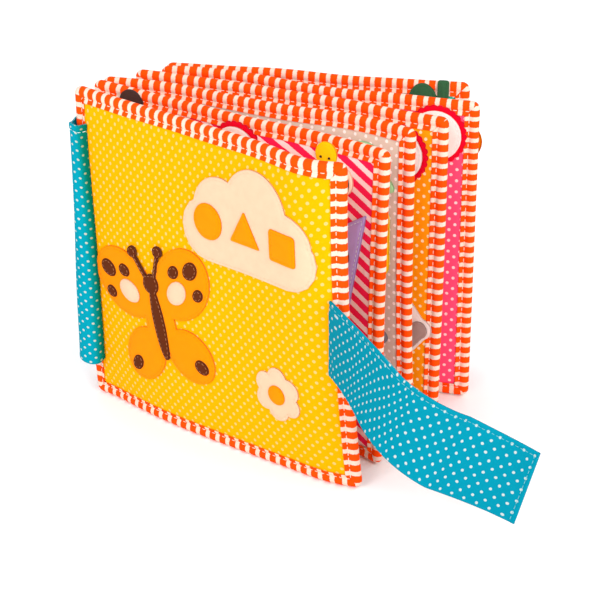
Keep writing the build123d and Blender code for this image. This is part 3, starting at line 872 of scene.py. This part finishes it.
def felt_piece(node, leaf, shapes, s0, colour, layer=0, face=-1, stitch=1.7, thread=None):
    """A felt shape sewn on a leaf; shapes have x from s0 and y from the table."""
    rough = resample(union_outline(shapes if isinstance(shapes, list) else [shapes]), 0.85)
    rough = rough + felt_rng.normal(0, 0.035, rough.shape)
    low, high = rough.min(0), rough.max(0)
    gx, gy = np.meshgrid(*(np.arange(low[k], high[k], FELT_GRID) for k in (0, 1)))
    gx = gx + (np.arange(gx.shape[0])[:, None] % 2) * FELT_GRID / 2
    grid = np.stack([gx, gy], -1).reshape(-1, 2)
    grid = grid[points_inside(grid, rough)]
    grid = grid[edge_distance(grid, rough) > FELT_EDGE]
    verts = [Vector(p) for p in np.concatenate([rough, inset(rough, 0.33), grid])]
    found, _, tris, _, _, _ = delaunay_2d_cdt(verts, [], [list(range(len(rough)))], 1, 1e-5)
    flat = np.array([p[:] for p in found])
    d = edge_distance(flat, rough)
    lift = np.sqrt(np.clip(1 - (1 - np.clip(d / FELT_EDGE, 0, 1)) ** 2, 0, 1))
    top = FELT_THICK * (0.42 + 0.58 * lift)
    dip = np.exp(-((d - stitch) / 0.55) ** 2) * 0.38 if stitch else 0.0
    top = top - dip + 0.22 * np.clip((d - stitch) / 6, 0, 1)
    way = -face
    s, z = s0 + flat[:, 0] * way, flat[:, 1]
    base = felt_base(leaf, s, z, layer)
    points = leaf.point(s, z, face * (base + top))
    order = [int(np.argmin(((flat - p) ** 2).sum(1))) for p in rough]
    skirt = leaf.point(s[order], z[order], face * (base[order] - FELT_SKIRT))
    count = len(flat)
    faces = [t if face > 0 else t[::-1] for t in (list(t) for t in tris)]
    ahead = np.roll(rough, -1, 0)
    area = (rough[:, 0] * ahead[:, 1] - ahead[:, 0] * rough[:, 1]).sum() / 2
    turn = (area > 0) == (face < 0)
    for k in range(len(order)):
        m = (k + 1) % len(order)
        quad = (order[k], order[m], count + m, count + k)
        faces.append(quad[::-1] if turn else quad)
    uv = np.concatenate([flat, flat[order] + (0, 1.2)])
    piece = new_mesh(f"{node}_felt", np.concatenate([points, skirt]), faces, uv=uv,
                     material=FELT[colour])
    slot = FELT_SLOT.get(colour, f"{colour}_felt")
    mount(piece, leaf.body, node, slot)
    line = inset(resample(rough, 0.8), stitch) if stitch else []
    if len(line) > 12:
        def place(points, up):
            s, z = s0 + points[:, 0] * way, points[:, 1]
            return leaf.point(s, z, face * (felt_base(leaf, s, z, layer) + FELT_THICK - 0.3 + up))
        starts, ends, up = run_stitches(line, place, 2.1, 2.9, True)
        short = np.linalg.norm(ends - starts, axis=1) < LONGEST_STITCH * MM
        dashes([(starts[short], ends[short], up[short])], FINE_THREAD, f"{node}_stitches",
               thread or FELT[colour], leaf.body, slot)


for leaf in leaves.values():
    panel(leaf)
    binding(leaf)
    binding_stitches(leaf)

# Front cover picture
cover = leaves["front_cover"]
cloud_s, cloud_z = placed(cover, 66.0, 48.0)
shape_size, shape_z, shape_pitch = 22.0, cloud_z - 7.0, 29.0
felt_piece("cover_cloud", cover, cloud(0, cloud_z, 100.0, 64.0), cloud_s, "cream")
felt_piece("cloud_circle", cover, disc(0, shape_z, shape_size / 2), cloud_s - shape_pitch,
           "orange", 1)
triangle = [(shape_size * 0.62 * math.cos(a), shape_z + shape_size * 0.62 * math.sin(a))
            for a in np.radians([90, 210, 330])]
felt_piece("cloud_triangle", cover, polygon(triangle, 1.0), cloud_s, "orange", 1)
felt_piece("cloud_square", cover, box(0, shape_z, shape_size * 0.86, shape_size * 0.86, 2.0),
           cloud_s + shape_pitch, "orange", 1)

butterfly_s, butterfly_z, butterfly_tilt = 67.0, 68.0, 14.0


def tilted(shape):
    return turned_by(shape, butterfly_tilt) + (0, butterfly_z)


def one_side(side, dx, dy, rx, ry, tilt):
    return tilted(oval(side * dx, dy, rx, ry, side * tilt))


wings = [tilted(oval(0, 0, 12, 20))]
body_shapes = [tilted(oval(0, 0, 4.5, 23)), tilted(disc(0, 25, 6.2))]
for side in (-1, 1):
    wings.append(one_side(side, 24, 25, 26, 20, 38))
    wings.append(one_side(side, 19, -20, 19, 15.5, -42))
    body_shapes.append(tilted(box(side * 6.5, 35.5, 2.4, 19, 0.5, -side * 25)))
    body_shapes.append(tilted(disc(side * 10.8, 45, 3.6)))
felt_piece("butterfly_wings", cover, wings, butterfly_s, "orange")
felt_piece("butterfly_body", cover, body_shapes, butterfly_s, "brown", 1, stitch=1.0,
           thread=tan_thread)
spots = [(35, 34, 6.5, 5, 38), (21, 33, 4.6, 3.8, 38), (37, 19, 4.4, 3.6, 38),
         (27, -26, 5.4, 4.2, -42)]
for side, name in ((-1, "left"), (1, "right")):
    for number, spot in enumerate(spots, 1):
        felt_piece(f"wing_spot_{name}_{number}", cover, one_side(side, *spot), butterfly_s,
                   "brown", 1, stitch=1.1, thread=tan_thread)
    felt_piece(f"wing_patch_{name}", cover, one_side(side, 20, 20, 8.5, 6.5, 38), butterfly_s,
               "cream", 1, stitch=1.3)
flower_s, flower_z, flower_radius = 156.0, 50.0, 17.0
felt_piece("cover_flower", cover, flower(0, flower_z, flower_radius, 6), flower_s, "cream")
felt_piece("flower_centre", cover, disc(0, flower_z, flower_radius * 0.36), flower_s, "orange", 1,
           stitch=1.2)

# Inner leaves
one, two, three, four = (leaves[f"inner_leaf_{n}"] for n in (1, 2, 3, 4))
for leaf, inward, drop in ((one, 104.0, 21.2), (three, 29.0, 25.5), (four, 25.0, 21.7)):
    s, z = placed(leaf, inward, drop)
    felt_piece(f"{leaf.name}_badge", leaf, scalloped(0, z, 18.5, 26, 2.3), s, "red", stitch=0)
    felt_piece(f"{leaf.name}_badge_disc", leaf, disc(0, z, 15.3), s, "pale", 1, thread=pale_thread)


def inner_felt(node, leaf, place, shape, colour, layer=0, **more):
    """A felt piece whose shape is drawn about its own place on the leaf."""
    s, z = placed(leaf, *place)
    moved = [part + (0, z) for part in (shape if isinstance(shape, list) else [shape])]
    felt_piece(node, leaf, moved, s, colour, layer, **more)


inner_felt("inner_leaf_1_brown_disc", one, (186.0, 7.5), disc(0.5, -1.4, 9.0), "dark")
inner_felt("inner_leaf_1_yellow_disc", one, (42.7, 10.5), disc(0, 0, 7.5), "yellow", stitch=1.5)
disc_s, disc_z = placed(one, 42.7, 10.5)
holes = np.array([(disc_s - 2.9, disc_z - 1.5), (disc_s + 2.9, disc_z - 1.5)])


def hole_place(points, lift):
    base = one.pad_half(points[:, 0], points[:, 1]) + FELT_THICK + lift
    return one.point(points[:, 0], points[:, 1], -base)


hole_lift = unit(hole_place(holes, 1.0) - hole_place(holes, 0.0))
hole_reach = (0, 0.8)
dashes([(hole_place(holes + hole_reach, 0.0), hole_place(holes - hole_reach, 0.0), hole_lift)],
       0.8, "inner_leaf_1_yellow_disc_holes", dark_thread, "book_block", "brown_felt")
inner_felt("inner_leaf_1_peach_ball", one, (32.0, 24.0), disc(0, 0, 9.3), "peach", stitch=0)
inner_felt("inner_leaf_1_ball_spot", one, (29.3, 25.4), oval(0, 0, 4.5, 7.5), "dark", 1, stitch=1.0)
bucket = polygon([(-26, 21), (-14, -34), (12, -34), (25, 35), (10, 26)])
inner_felt("inner_leaf_1_bucket", one, (37.0, 75.0), bucket, "purple", thread=pale_thread)
inner_felt("inner_leaf_1_bucket_spot", one, (28.0, 68.5), oval(0, 0, 5, 7), "dark", 1, stitch=1.0)
crown = [oval(0, 38.5, 18, 20), oval(-6, 41, 6, 17, 120), oval(6, 41, 6, 17, -120)]
inner_felt("inner_leaf_2_pineapple_crown", two, (31.8, 72.0), crown, "green", stitch=1.2)
inner_felt("inner_leaf_2_pineapple", two, (31.8, 72.0), box(0, 0, 38, 46, 9), "yellow", 1)
inner_felt("inner_leaf_2_grey_stone", two, (22.0, 132.5), oval(-1.8, -1.0, 9.3, 5.6), "grey")
ear = polygon([(-4, 26), (-6, 5), (8.5, 10.5)], 0.4)
inner_felt("inner_leaf_3_heart", three, (18.0, 140.4), heart(0, 0, 24.5) + [ear], "pale",
           stitch=1.2)
inner_felt("inner_leaf_3_small_heart", three, (18.0, 140.0), heart(0, 0, 20.5), "taupe", 1,
           stitch=1.4)
inner_felt("inner_leaf_4_back_disc", four, (10.5, 26.5), disc(0, 0, 12), "orange", face=1)
back = leaves["back_cover"]
cactus = [box(4, 0, 7, 69, 1.5), oval(-8.5, 18, 9.5, 14)]
inner_felt("back_cover_cactus", back, (20.0, 33.0), cactus, "pine")


# Closure strap
STRAP_KNOTS = np.linspace(0, 1, 4)
STRAP_HALF = strap_width / 2
STRAP_HEM, STRAP_TIP_HEM = 20.4, 2.6


def strap_line(count):
    """Points along the middle of the strap, with the unit vectors along and up it."""
    x, y, h = (float(v) for v in cover.path.at(cover.width - 7.9))
    outward = cad_binding / 2 + 0.3 + 1.1
    point = np.array([x + outward * math.sin(h), y - outward * math.cos(h),
                      cover_height * strap_seat_share])
    rows, last = [], None
    for share in np.linspace(0, 1, count + 1):
        turn = math.radians(np.interp(share, STRAP_KNOTS, strap_headings))
        droop = math.radians(np.interp(share, STRAP_KNOTS, strap_droops))
        plan = np.array([math.cos(turn), math.sin(turn), 0.0])
        ahead = plan * math.cos(droop) - (0, 0, math.sin(droop))
        up = plan * math.sin(droop) + (0, 0, math.cos(droop))
        if last is not None:
            point = point + (ahead + last) * (strap_length / count / 2)
        rows.append((point.copy(), ahead, up))
        last = ahead
    return (np.array(column) for column in zip(*rows))


strap_u = np.linspace(0, strap_length, 101)
strap_middle, strap_ahead, strap_up = strap_line(100)
strap_side = np.cross(strap_up, strap_ahead)


def strap_point(u, v, w):
    """World point on the strap: u along it, v across it, w out towards the viewer's side."""
    u, v, w = np.broadcast_arrays(*(np.asarray(x, float) for x in (u, v, w)))
    far = np.clip((u - 60) / 87, 0, 1)
    v = v + np.where(v > 0, 1.3 * far, 2.2 * far ** 3) * v / STRAP_HALF
    out = []
    for k in range(3):
        middle, up, side = (np.interp(u, strap_u, line[:, k])
                            for line in (strap_middle, strap_up, strap_side))
        out.append(middle + up * v + side * w)
    return to_world(*out)


def strap_cloth(u, v):
    """Cloth place of a point on the strap, with its columns of dots where they lie."""
    columns = np.zeros_like(u)
    for k in range(u.shape[1]):
        places = np.array(STRAP_PLACES) + np.array(STRAP_LEANS) * v[0, k]
        columns[:, k] = -np.interp(u[:, k], places, STRAP_COLUMNS)
    slope = (STRAP_COLUMNS[-2] - STRAP_COLUMNS[-1]) / (STRAP_PLACES[-1] - STRAP_PLACES[-2])
    columns += slope * np.maximum(u - STRAP_PLACES[-1], 0)
    columns -= np.maximum(STRAP_PLACES[0] - u, 0) / 6.0
    sag = 3.0 * np.exp(-((u - 57 + 0.4 * v) / 12) ** 2)
    drop = 1.9 + 1.4 * np.clip(1 - (u - 40) / 30, 0, 1)
    return np.stack([DOT_PITCH * columns, (v - drop + sag) * DOT_PITCH / 7.4], -1)


def strap():
    # Across the strap: its rounded edges and, below the upper one, the groove of its seam
    v = np.concatenate([[-23, -22.8, -22.2, -21.2], np.linspace(-19.5, 18, 18),
                        [19.5, 20.1, 20.7, 21.6, 22.4, 22.9, 23]])
    half = np.where(v < 0,
                    np.interp(-v, [0, 20, 22, 22.8, 23], [0.95, 0.95, 0.85, 0.55, 0.25]),
                    np.interp(v, [0, 18, 19.6, 20.4, 21.2, 22.2, 22.8, 23],
                              [0.95, 0.95, 0.85, 0.62, 1.0, 1.0, 0.7, 0.3]))
    # Along the strap: the groove of the seam at the tip, and its rounded edge
    u = np.concatenate([np.linspace(-0.5, strap_length - 4, 84),
                        strap_length - np.array([3.2, 2.5, 1.8, 1.0, 0.3, 0.0])])
    shrink = np.interp(strap_length - u, [0, 0.3, 1.0, 1.8, 2.5, 3.2],
                       [0.25, 0.7, 1.0, 1.0, 0.62, 0.9])
    gu, gv = np.meshgrid(u, v, indexing="ij")
    thick = half[None, :] * np.minimum(shrink[:, None], 1.0)
    wave = 0.12 * np.sin(gu / 2.1 + gv / 5) + 0.1 * np.sin(gu / 5.7 - gv / 3.1)
    uv = strap_cloth(gu, gv)
    piece = thin_piece("closure_strap_cloth",
                       [strap_point(gu, gv, -(thick + wave * (np.abs(gv) < 21))),
                        strap_point(gu, gv, thick)],
                       [uv, uv + (400.3, 0)], teal, "front_cover", "closure_strap",
                       "teal_dotted_cloth")
    tip = strap_length - STRAP_TIP_HEM
    line = [(1.5, STRAP_HEM)] + [(k, STRAP_HEM) for k in np.linspace(4, tip, 60)]
    line += [(tip, k) for k in np.linspace(19, -22, 18)]
    runs = []
    for side in (-1, 1):
        def place(points, lift, side=side):
            return strap_point(points[:, 0], points[:, 1], side * (0.72 + lift))
        runs.append(run_stitches(line, place, 2.4, 3.3))
    dashes(runs, FINE_THREAD, "closure_strap_stitches", teal_thread, "front_cover",
           "cream_fastener")


strap()


# Touch fastener patches
def fastener(name):
    n = Nodes(name)
    uv = cloth_uv(n)
    cell = n.vector("FRACTION", n.vector("SCALE", uv, scale=1 / 0.9))
    near = n.vector("LENGTH", n.vector("MULTIPLY", n.vector("SUBTRACT", cell, (0.5, 0.5, 0)),
                                       (1, 1, 0)))
    height = n.range(near, 0.15, 0.45, 1.0, 0.0, True)
    fuzz = n.noise(uv, 2.2, 3.0)
    shade = n.math("ADD", n.range(height, 0, 1, 0.86, 1.0), n.range(fuzz, 0.3, 0.7, -0.05, 0.05))
    return finish_cloth(n, n.tint(linear(238, 226, 208), shade), height, 0.6, 0.0004, 0.8, 0.2)


hook = fastener("fastener_hooks")


def slab(name, place, width, length, thickness, body, node):
    gu, gv = np.meshgrid(np.linspace(0, 1, 15), np.linspace(0, 1, 13), indexing="ij")
    uv = np.stack([gu * length, gv * width], -1)
    thin_piece(name, [place(gu, gv, thickness), place(gu, gv, 0.0)], [uv, uv], hook, body, node,
               "cream_fastener")


hook_start, hook_end = strap_length * 9 / 13, strap_length * 12 / 13
loop_s, loop_z = placed(back, 62.0, 95.0)


hook_width, loop_width, loop_length = 28, 46, 62


def hook_place(u, v, lift):
    return strap_point(hook_start + u * (hook_end - hook_start), hook_width * (v - 0.5),
                       0.9 + lift)


def loop_place(u, v, lift):
    s, z = loop_s + loop_length * (u - 0.5), loop_z + loop_width * (v - 0.5)
    return back.point(s, z, back.pad_half(s, z) - 0.2 + lift)


slab("strap_hook_tape", hook_place, hook_width, hook_end - hook_start, 1.1, "front_cover",
     "strap_hook_patch")
slab("back_cover_loop_tape", loop_place, loop_width, loop_length, 1.2, "back_cover",
     "back_cover_loop_patch")


# Spine cloth
def convex(points):
    """Convex outline round points, anticlockwise."""
    points = sorted(map(tuple, points))
    halves = []
    for run in (points, points[::-1]):
        chain = []
        for p in run:
            while len(chain) > 1 and ((chain[-1][0] - chain[-2][0]) * (p[1] - chain[-2][1])
                                      - (chain[-1][1] - chain[-2][1]) * (p[0] - chain[-2][0])) <= 0:
                chain.pop()
            chain.append(p)
        halves += chain[:-1]
    return np.array(halves)


def roll_outline(centre, radius, face):
    """Section of a spine roll, from the leaf's outer face round its spine end to its inner
    face: x along the leaf from the hinge, y out of its outer face."""
    a = np.radians(np.arange(0, 360, 4))
    ring = np.stack([np.cos(a), np.sin(a)], 1)
    circles = [(*centre, radius)] + ROLL_CORE
    line = resample(convex(np.concatenate([ring * r + (x, y) for x, y, r in circles])), 0.25)
    start = int(np.argmin(np.abs(line[:, 1] - face) + 100 * (line[:, 0] < centre[0])))
    line = np.roll(line, -start, 0)
    stop = int(np.argmax((line[:, 1] < -face) & (line[:, 0] > centre[0] - 2)))
    line = line[:stop] if stop else line
    for _ in range(6):
        line[1:-1] = (line[:-2] + 2 * line[1:-1] + line[2:]) / 4
    return line


SLEEVE_LOW = 25.0
SLEEVE_POINTS = 64
SLEEVE_THICK = 1.0
SLEEVE_STITCH_ROW = -6
# Along a sleeve: how much wider the roll is, and where; the first four are measured up
# from its foot and the rest from its top
SLEEVE_WIDTHS = [(-0.15, 0.0), (0.1, 0.5), (0.15, 1.6), (0.0, 4.0), (0.0, -7.0), (0.0, -5.6),
                 (-0.3, -5.0), (0.1, -4.4), (0.35, -3.0), (0.2, -0.3), (-0.1, 0.0)]


def sleeve(name, leaf, hinge, centre_foot, centre_top, foot_radius, top_radius, seed, node):
    """A cloth roll round the spine end of a cover, open at both ends."""
    low, high = SLEEVE_LOW, leaf.height - spine_clearance
    ends = [low if k < 4 else high for k in range(len(SLEEVE_WIDTHS))]
    ends = [end + step for end, (_, step) in zip(ends, SLEEVE_WIDTHS)]
    levels = np.concatenate([ends[:3], np.linspace(low + 4, high - 7, 40), ends[5:9],
                             [high - 1.2], ends[9:]])
    extra = np.interp(levels, ends, [more for more, _ in SLEEVE_WIDTHS])
    phase = np.random.default_rng(seed).uniform(0, 6.28, 6)
    heading = float(leaf.path.h[np.searchsorted(leaf.path.s, 0)])
    along = np.array([math.cos(heading), math.sin(heading)])
    out = np.array([math.sin(heading), -math.cos(heading)]) * leaf.outside
    inner, outer, uv = [], [], []
    for z, more in zip(levels, extra):
        share = (z - low) / (high - low)
        centre = np.array(centre_foot) + (np.array(centre_top) - centre_foot) * share
        centre[0] += 1.0 * math.sin(math.pi * share)
        radius = foot_radius + (top_radius - foot_radius) * share
        line = resample_open(roll_outline(centre, radius, 3.45), SLEEVE_POINTS)
        run = run_of(line)
        tangent = unit(np.gradient(line, axis=0))
        normal = np.stack([tangent[:, 1], -tangent[:, 0]], 1)
        part = run / run[-1]
        wave = (0.2 * np.sin(11 * part + z / 31 + phase[0])
                + 0.14 * np.sin(23 * part - z / 17 + phase[1]) + 0.22 * math.sin(z / 23 + phase[2]))
        wave = wave * np.clip(np.minimum(part, 1 - part) * 12, 0, 1)
        # The top edge sinks, except on the leaf's inner face, and the foot rises, except at
        # the middle of its outer bulge
        dip = 2.6 * share ** 10 * np.clip((0.95 - part) / 0.3, 0, 1)
        curl = 1.5 * (1 - share) ** 12 * (1 - np.sin(np.pi * np.clip(part / 0.5, 0, 1)))
        level = z + 0.5 * np.sin(part * 12 + phase[3]) - dip + curl
        thick = SLEEVE_THICK + 0.25 * (more > 0.05)
        for grow, rows in ((more + wave, outer), (more + wave - thick, inner)):
            at = line + normal * grow[:, None]
            xy = at[:, :1] * along + at[:, 1:] * out + hinge
            rows.append(to_world(xy[:, 0], xy[:, 1], level))
        # Across the cloth the run starts on the cover's outer face, so the painted shade of the
        # roll's material lies where the roll meets the cover
        uv.append(np.stack([run, np.full(SLEEVE_POINTS, z * 1.2)], -1))
    outer, inner, uv = np.array(outer), np.array(inner), np.array(uv)
    thin_piece(name, [outer, inner], [uv, uv + (300, 0)], painted_light_roll_teal, leaf.body, node,
               "teal_dotted_cloth")
    row = outer[SLEEVE_STITCH_ROW]
    row = row + (row - row.mean(0)) * 0.012
    run = run_of(row)
    first = np.arange(0.6 * MM, run[-1] - 3 * MM, 3.2 * MM)
    starts, ends = along_line(first, run, row), along_line(first + 2.3 * MM, run, row)
    lift = (starts - row.mean(0)) * (1, 1, 0)
    dashes([(starts, ends, unit(lift))], COARSE_THREAD, f"{name}_stitches", pale_thread,
           leaf.body, "cream_fastener")


sleeve("front_sleeve_cloth", cover, (0, 0), (3.6, 5.4), (0.6, 3.4), 8.7, 5.7, 31,
       "front_hinge_sleeve")
sleeve("back_sleeve_cloth", back, back_hinge, (1.5, 2.5), (0.6, 2.0), 7.6, 5.6, 32,
       "back_hinge_sleeve")


def spine_wave(s, z):
    """Small waves of the spine cloth, none at its two ends."""
    return 0.3 * np.sin(s / 5 + z / 40) * np.sin(np.pi * s / spine.length)


def spine_sheet():
    low, high = spine_clearance, leaf_height - spine_clearance
    z = np.concatenate([[low, low + 0.4, low + 1.2], np.linspace(low + 3, high - 3, 46),
                        [high - 1.2, high - 0.4, high]])
    half = np.interp(z, [low, low + 0.4, low + 1.2, high - 1.2, high - 0.4, high],
                     [0.2, 0.5, 0.62, 0.62, 0.5, 0.2])
    gs, gz = np.meshgrid(np.linspace(0, spine.length, 70), z, indexing="ij")
    # The start turns in, so that the front sleeve clears it when the cover is turned back
    wave = spine_wave(gs, gz) - 2.1 * np.exp(-gs / 5.0)
    sides = [to_world(*spine.beside(gs, sign * half[None, :] + wave), gz) for sign in (-1, 1)]
    uv = np.stack([gs, gz], -1)
    piece = thin_piece("spine_cloth_band", sides, [uv, uv + (200, 0)], teal, "book_block",
                       "spine_cloth", "teal_dotted_cloth")

    def place(points, lift):
        s, z = points[:, 0], points[:, 1]
        return to_world(*spine.beside(s, 0.68 + spine_wave(s, z) + lift), z)

    runs = []
    for place_s, _, _ in inner_plans:
        for shift in (-1.4, 1.4):
            line = [(place_s + shift, k) for k in np.linspace(low + 3, high - 3, 50)]
            runs.append(run_stitches(line, place, 2.4, 3.4))
    dashes(runs, SPINE_THREAD, "spine_cloth_stitches", pale_thread, "book_block",
           "cream_fastener")


spine_sheet()

# Floor, light and camera
FLOOR_HALF = 3.0
FLOOR_LEVEL = -0.0004
FLOOR_PAINT = (0.97, 0.97, 0.97, 1)
WORLD_LIGHT = 1.1
floor_mesh = bpy.data.meshes.new("floor")
floor_corners = [(x * FLOOR_HALF, y * FLOOR_HALF, FLOOR_LEVEL)
                 for x, y in ((-1, -1), (1, -1), (1, 1), (-1, 1))]
floor_mesh.from_pydata(floor_corners, [], [(0, 1, 2, 3)])
floor = bpy.data.objects.new("floor", floor_mesh)
bpy.context.scene.collection.objects.link(floor)
floor_nodes = Nodes("floor_paint")
floor_nodes.bsdf.inputs["Base Color"].default_value = FLOOR_PAINT
floor_nodes.bsdf.inputs["Roughness"].default_value = 0.9
floor_nodes.bsdf.inputs["Specular IOR Level"].default_value = 0.0
floor_mesh.materials.append(floor_nodes.material)

world = bpy.data.worlds.new("studio")
bpy.context.scene.world = world
world.use_nodes = True
background = world.node_tree.nodes["Background"]
background.inputs[0].default_value = (1, 1, 1, 1)
background.inputs[1].default_value = WORLD_LIGHT


LAMP_TARGET = (0, 0, 0.1)


def lamp(name, place, size, power):
    light = bpy.data.lights.new(name, "AREA")
    light.shape, light.size, light.energy = "DISK", size, power
    lamp_object = bpy.data.objects.new(name, light)
    bpy.context.scene.collection.objects.link(lamp_object)
    lamp_object.location = place
    aim = Vector(LAMP_TARGET) - Vector(place)
    lamp_object.rotation_euler = aim.to_track_quat("-Z", "Y").to_euler()


lamp("key", (-0.85, -1.15, 1.0), size=0.7, power=9.5)
lamp("fill", (0.75, -1.2, 0.6), size=1.0, power=12.0)

# The camera that fits the photo: its place from the front hinge, and its focal length in
# pixels of a picture 600 wide
CAMERA_FROM_HINGE = (0.130, -0.958, 0.508)
CAMERA_TILT = 24.95
FOCAL_PIXELS, PICTURE_WIDTH, SENSOR_WIDTH = 1690.0, 600.0, 36.0
camera_data = bpy.data.cameras.new("camera")
camera_data.sensor_width = SENSOR_WIDTH
camera_data.lens = FOCAL_PIXELS / PICTURE_WIDTH * SENSOR_WIDTH
camera = bpy.data.objects.new("camera", camera_data)
bpy.context.scene.collection.objects.link(camera)
camera.location = ORIGIN + CAMERA_FROM_HINGE
camera.rotation_euler = (math.radians(90 - CAMERA_TILT), 0, 0)
bpy.context.scene.camera = camera
bpy.context.scene.view_settings.view_transform = "Standard"
